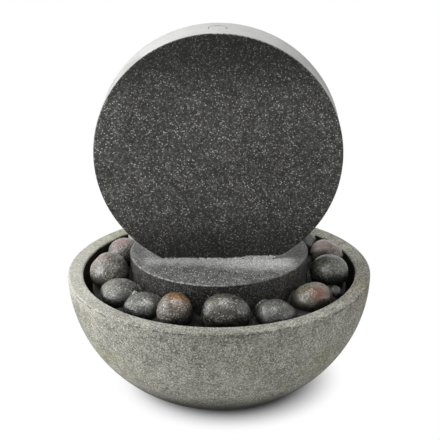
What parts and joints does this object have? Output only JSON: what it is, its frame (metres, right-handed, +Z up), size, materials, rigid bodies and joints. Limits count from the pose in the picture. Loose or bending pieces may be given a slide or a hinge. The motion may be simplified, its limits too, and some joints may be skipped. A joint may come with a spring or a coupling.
{
  "type": "indoor fountain",
  "caption": "Indoor fountain: an upright round stone disc on a dished plinth, ringed by pebbles in a deep round bowl, with a small pump below.",
  "frame": {"origin": "on the surface the fountain stands on, below the centre of the bowl", "axes": "+Z up, the disc's faces look along -Y and +Y, and -Y is the front"},
  "size_m": [0.3, 0.3, 0.3682],
  "materials": {
    "bowl_stone": "cast stone, matte, speckled, grey green",
    "disc_stone": "cast stone, honed, black grey with fine pale specks",
    "wet_stone": "cast stone, wet, dark grey with pale specks",
    "pebble_grey": "river stone, wet gloss, grey",
    "pebble_dark": "river stone, wet gloss, black grey",
    "pebble_brown": "river stone, wet gloss, brown and mauve",
    "rubber": "moulded, matte, black",
    "hose_vinyl": "flexible tube, cloudy clear",
    "pump_plastic": "injection moulded, fine texture, black",
    "impeller_plastic": "injection moulded, white",
    "slider_plastic": "injection moulded, blue",
    "copper": "enamelled copper wire",
    "core_steel": "stacked electrical steel plates",
    "ferrite": "pressed ferrite, ground",
    "shaft_ceramic": "ground white ceramic"
  },
  "bodies": {
    "base": {"bowl": "bowl_stone", "foot_pads": "rubber", "cord_grommet": "rubber", "supply_hose": "hose_vinyl", "pump_housing": "pump_plastic", "stator_core": "core_steel", "coil_bobbin": "impeller_plastic", "coil_winding": "copper", "motor_end_plate": "pump_plastic", "cord_gland": "rubber", "suction_cups": "rubber", "rotor_shaft": "shaft_ceramic", "rear_bush": "rubber", "front_bush": "rubber", "volute_cover": "pump_plastic"},
    "insert": {"plinth": "wet_stone", "pebble_tray": "wet_stone", "pebble_01": "pebble_brown", "pebble_02": "pebble_grey", "pebble_03": "pebble_dark", "pebble_04": "pebble_grey", "pebble_05": "pebble_dark", "pebble_06": "pebble_brown", "pebble_07": "pebble_brown", "pebble_08": "pebble_dark", "pebble_09": "pebble_brown", "pebble_10": "pebble_grey", "pebble_11": "pebble_grey", "pebble_12": "pebble_dark", "pebble_13": "pebble_dark", "pebble_14": "pebble_grey", "pebble_15": "pebble_brown", "pebble_16": "pebble_grey", "pebble_17": "pebble_grey"},
    "disc": {"moon_disc": "disc_stone", "riser_tube": "hose_vinyl", "outlet_cap": "disc_stone"},
    "rotor": {"magnet_rotor": "ferrite", "impeller": "impeller_plastic"},
    "strainer": {"intake_cover": "pump_plastic"},
    "slider": {"flow_slider": "slider_plastic"}
  },
  "joints": [
    {"name": "insert_lift", "type": "slide", "parent": "base", "child": "insert", "axis": [0, 0, 1], "range_m": [0, 0.115]},
    {"name": "disc_lift", "type": "slide", "parent": "insert", "child": "disc", "axis": [0, 0, 1], "range_m": [0, 0.045]},
    {"name": "rotor_spin", "type": "hinge", "parent": "base", "child": "rotor", "pos_m": [-0.009, 0, 0.04], "axis": [0, 1, 0], "continuous": true},
    {"name": "cover_pull", "type": "slide", "parent": "base", "child": "strainer", "axis": [0, -1, 0], "range_m": [0, 0.016]},
    {"name": "flow_slide", "type": "slide", "parent": "strainer", "child": "slider", "axis": [0, 0, 1], "range_m": [0, 0.006]}
  ]
}
